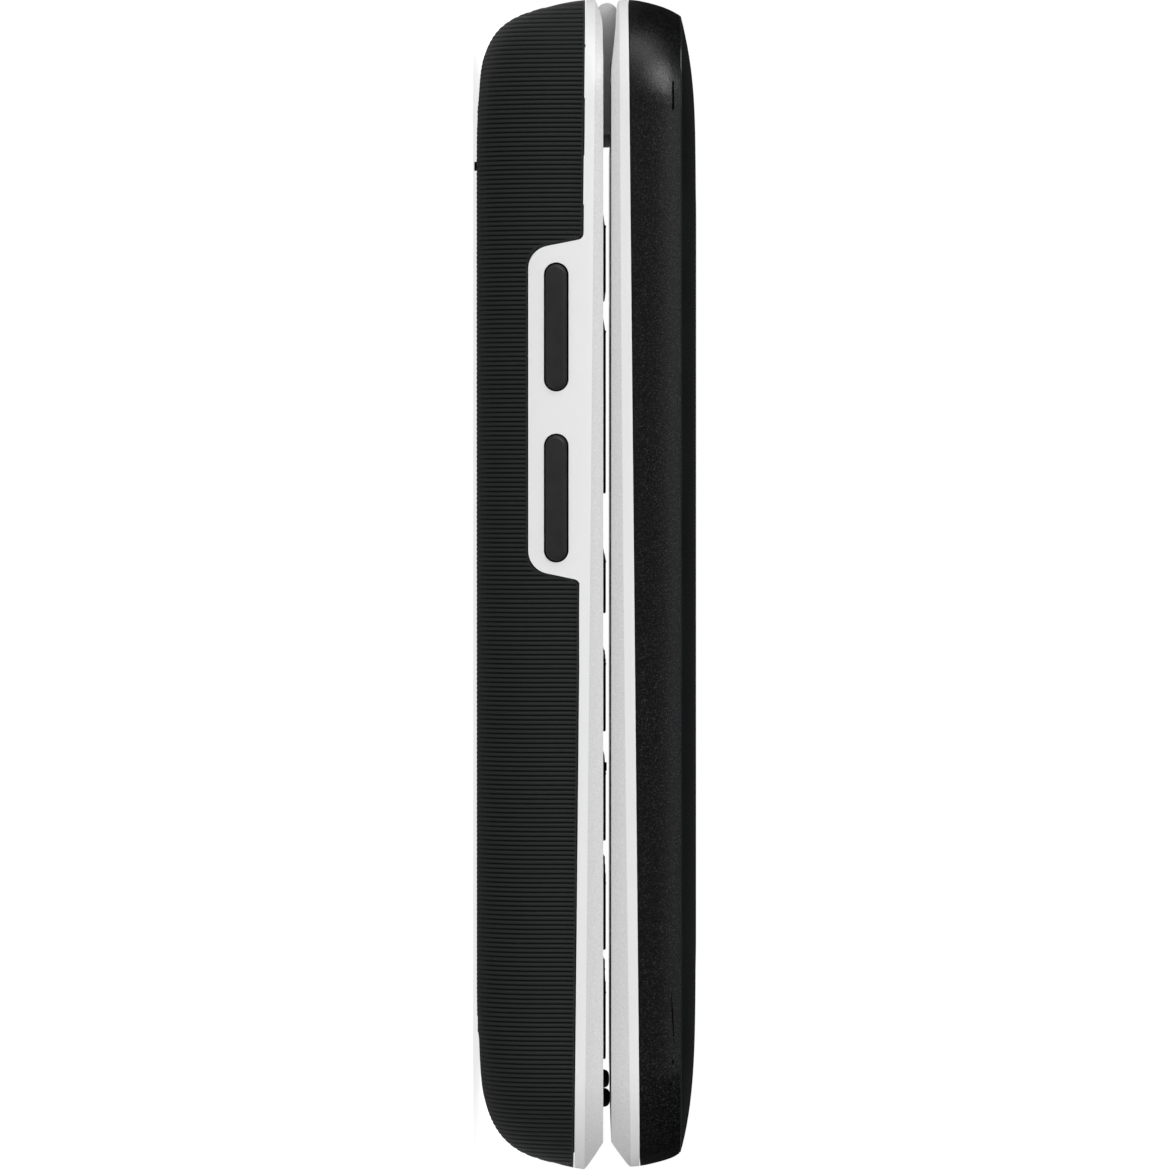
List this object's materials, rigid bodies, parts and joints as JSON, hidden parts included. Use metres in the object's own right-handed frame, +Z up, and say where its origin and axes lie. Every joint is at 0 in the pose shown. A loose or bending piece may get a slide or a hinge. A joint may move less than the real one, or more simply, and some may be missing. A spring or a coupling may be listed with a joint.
{
  "type": "flip phone",
  "caption": "Clamshell mobile phone with a hinged lid, pressable keypad, side volume keys and ribbed battery cover.",
  "frame": {"origin": "bottom centre of the closed phone's box, on the surface it lies on", "axes": "+Z up through the thickness from the battery cover to the lid, +Y towards the hinge end, +X to the right seen from the lid side"},
  "size_m": [0.0533, 0.1029, 0.0197],
  "materials": {
    "ribbed_cover": "moulded fine ribs, matt black",
    "white_case": "moulded white, fine matt",
    "inner_plastic": "glass filled, dull",
    "circuit_board": "green solder mask",
    "shield_steel": "tinned sheet",
    "battery_wrap": "film wrapped",
    "connector_plastic": "moulded black",
    "speaker_plastic": "moulded black",
    "dome_film": "translucent film",
    "flex_film": "amber film",
    "screw_steel": "zinc plated",
    "stop_rubber": "soft black",
    "plug_rubber": "soft white",
    "hinge_steel": "turned",
    "panel_gloss": "polished black",
    "display_glass": "dark switched-off display",
    "satin_cover": "satin black with a fine sparkle",
    "front_gloss": "polished black",
    "ring_metal": "dark anodised",
    "camera_glass": "coated lens glass",
    "key_plastic": "fine matt dark grey",
    "call_key_plastic": "fine matt dark grey with a green mark",
    "end_key_plastic": "fine matt dark grey with a red mark",
    "ring_key_plastic": "satin dark grey",
    "side_key_plastic": "fine matt dark grey"
  },
  "bodies": {
    "base": {"back_cover": "ribbed_cover", "base_frame": "white_case", "chassis": "inner_plastic", "main_board": "circuit_board", "board_shield": "shield_steel", "battery": "battery_wrap", "battery_contacts": "connector_plastic", "sim_holder": "shield_steel", "usb_socket": "shield_steel", "headset_jack": "connector_plastic", "loudspeaker": "speaker_plastic", "vibration_motor": "shield_steel", "microphone": "speaker_plastic", "antenna": "inner_plastic", "dome_sheet": "dome_film", "side_key_flex": "flex_film", "case_screws": "screw_steel", "lid_bumpers": "stop_rubber", "hinge_module": "hinge_steel", "hinge_flex": "flex_film"},
    "lid": {"hinge_cam_shaft": "hinge_steel", "hinge_pin": "hinge_steel", "lid_flex": "flex_film", "lid_inner_frame": "white_case", "display_panel": "panel_gloss", "main_display": "display_glass", "earpiece": "speaker_plastic", "lid_board": "circuit_board", "closing_magnet": "screw_steel", "lid_cover": "satin_cover", "front_cap": "front_gloss", "front_display": "display_glass", "camera_module": "connector_plastic", "camera_ring": "ring_metal", "camera_window": "camera_glass", "lid_screws": "screw_steel", "screw_plugs": "plug_rubber"},
    "key_1": {"key_1": "key_plastic"},
    "key_2": {"key_2": "key_plastic"},
    "key_3": {"key_3": "key_plastic"},
    "key_4": {"key_4": "key_plastic"},
    "key_5": {"key_5": "key_plastic"},
    "key_6": {"key_6": "key_plastic"},
    "key_7": {"key_7": "key_plastic"},
    "key_8": {"key_8": "key_plastic"},
    "key_9": {"key_9": "key_plastic"},
    "key_star": {"key_star": "key_plastic"},
    "key_0": {"key_0": "key_plastic"},
    "key_hash": {"key_hash": "key_plastic"},
    "shortcut_key_a": {"shortcut_key_a": "key_plastic"},
    "shortcut_key_b": {"shortcut_key_b": "key_plastic"},
    "shortcut_key_c": {"shortcut_key_c": "key_plastic"},
    "soft_key_left": {"soft_key_left": "key_plastic"},
    "soft_key_right": {"soft_key_right": "key_plastic"},
    "call_key": {"call_key": "call_key_plastic"},
    "end_key": {"end_key": "end_key_plastic"},
    "nav_ring": {"nav_ring": "ring_key_plastic"},
    "ok_key": {"ok_key": "key_plastic"},
    "volume_up_key": {"volume_up_key": "side_key_plastic"},
    "volume_down_key": {"volume_down_key": "side_key_plastic"}
  },
  "joints": [
    {"name": "lid_hinge", "type": "hinge", "parent": "base", "child": "lid", "pos_m": [0, 0.04835, 0.0157], "axis": [-1, 0, 0], "range_deg": [0, 160]},
    {"name": "key_1_press", "type": "slide", "parent": "base", "child": "key_1", "axis": [0, 0, -1], "range_m": [0, 0.00025], "stiffness_N_per_m": 4000},
    {"name": "key_2_press", "type": "slide", "parent": "base", "child": "key_2", "axis": [0, 0, -1], "range_m": [0, 0.00025], "stiffness_N_per_m": 4000},
    {"name": "key_3_press", "type": "slide", "parent": "base", "child": "key_3", "axis": [0, 0, -1], "range_m": [0, 0.00025], "stiffness_N_per_m": 4000},
    {"name": "key_4_press", "type": "slide", "parent": "base", "child": "key_4", "axis": [0, 0, -1], "range_m": [0, 0.00025], "stiffness_N_per_m": 4000},
    {"name": "key_5_press", "type": "slide", "parent": "base", "child": "key_5", "axis": [0, 0, -1], "range_m": [0, 0.00025], "stiffness_N_per_m": 4000},
    {"name": "key_6_press", "type": "slide", "parent": "base", "child": "key_6", "axis": [0, 0, -1], "range_m": [0, 0.00025], "stiffness_N_per_m": 4000},
    {"name": "key_7_press", "type": "slide", "parent": "base", "child": "key_7", "axis": [0, 0, -1], "range_m": [0, 0.00025], "stiffness_N_per_m": 4000},
    {"name": "key_8_press", "type": "slide", "parent": "base", "child": "key_8", "axis": [0, 0, -1], "range_m": [0, 0.00025], "stiffness_N_per_m": 4000},
    {"name": "key_9_press", "type": "slide", "parent": "base", "child": "key_9", "axis": [0, 0, -1], "range_m": [0, 0.00025], "stiffness_N_per_m": 4000},
    {"name": "key_star_press", "type": "slide", "parent": "base", "child": "key_star", "axis": [0, 0, -1], "range_m": [0, 0.00025], "stiffness_N_per_m": 4000},
    {"name": "key_0_press", "type": "slide", "parent": "base", "child": "key_0", "axis": [0, 0, -1], "range_m": [0, 0.00025], "stiffness_N_per_m": 4000},
    {"name": "key_hash_press", "type": "slide", "parent": "base", "child": "key_hash", "axis": [0, 0, -1], "range_m": [0, 0.00025], "stiffness_N_per_m": 4000},
    {"name": "shortcut_key_a_press", "type": "slide", "parent": "base", "child": "shortcut_key_a", "axis": [0, 0, -1], "range_m": [0, 0.00025], "stiffness_N_per_m": 4000},
    {"name": "shortcut_key_b_press", "type": "slide", "parent": "base", "child": "shortcut_key_b", "axis": [0, 0, -1], "range_m": [0, 0.00025], "stiffness_N_per_m": 4000},
    {"name": "shortcut_key_c_press", "type": "slide", "parent": "base", "child": "shortcut_key_c", "axis": [0, 0, -1], "range_m": [0, 0.00025], "stiffness_N_per_m": 4000},
    {"name": "soft_key_left_press", "type": "slide", "parent": "base", "child": "soft_key_left", "axis": [0, 0, -1], "range_m": [0, 0.00025], "stiffness_N_per_m": 4000},
    {"name": "soft_key_right_press", "type": "slide", "parent": "base", "child": "soft_key_right", "axis": [0, 0, -1], "range_m": [0, 0.00025], "stiffness_N_per_m": 4000},
    {"name": "call_key_press", "type": "slide", "parent": "base", "child": "call_key", "axis": [0, 0, -1], "range_m": [0, 0.00025], "stiffness_N_per_m": 4000},
    {"name": "end_key_press", "type": "slide", "parent": "base", "child": "end_key", "axis": [0, 0, -1], "range_m": [0, 0.00025], "stiffness_N_per_m": 4000},
    {"name": "nav_ring_press", "type": "slide", "parent": "base", "child": "nav_ring", "axis": [0, 0, -1], "range_m": [0, 0.00025], "stiffness_N_per_m": 4000},
    {"name": "ok_key_press", "type": "slide", "parent": "base", "child": "ok_key", "axis": [0, 0, -1], "range_m": [0, 0.00025], "stiffness_N_per_m": 4000},
    {"name": "volume_up_key_press", "type": "slide", "parent": "base", "child": "volume_up_key", "axis": [1, 0, 0], "range_m": [0, 0.0003], "stiffness_N_per_m": 4000},
    {"name": "volume_down_key_press", "type": "slide", "parent": "base", "child": "volume_down_key", "axis": [1, 0, 0], "range_m": [0, 0.0003], "stiffness_N_per_m": 4000}
  ]
}
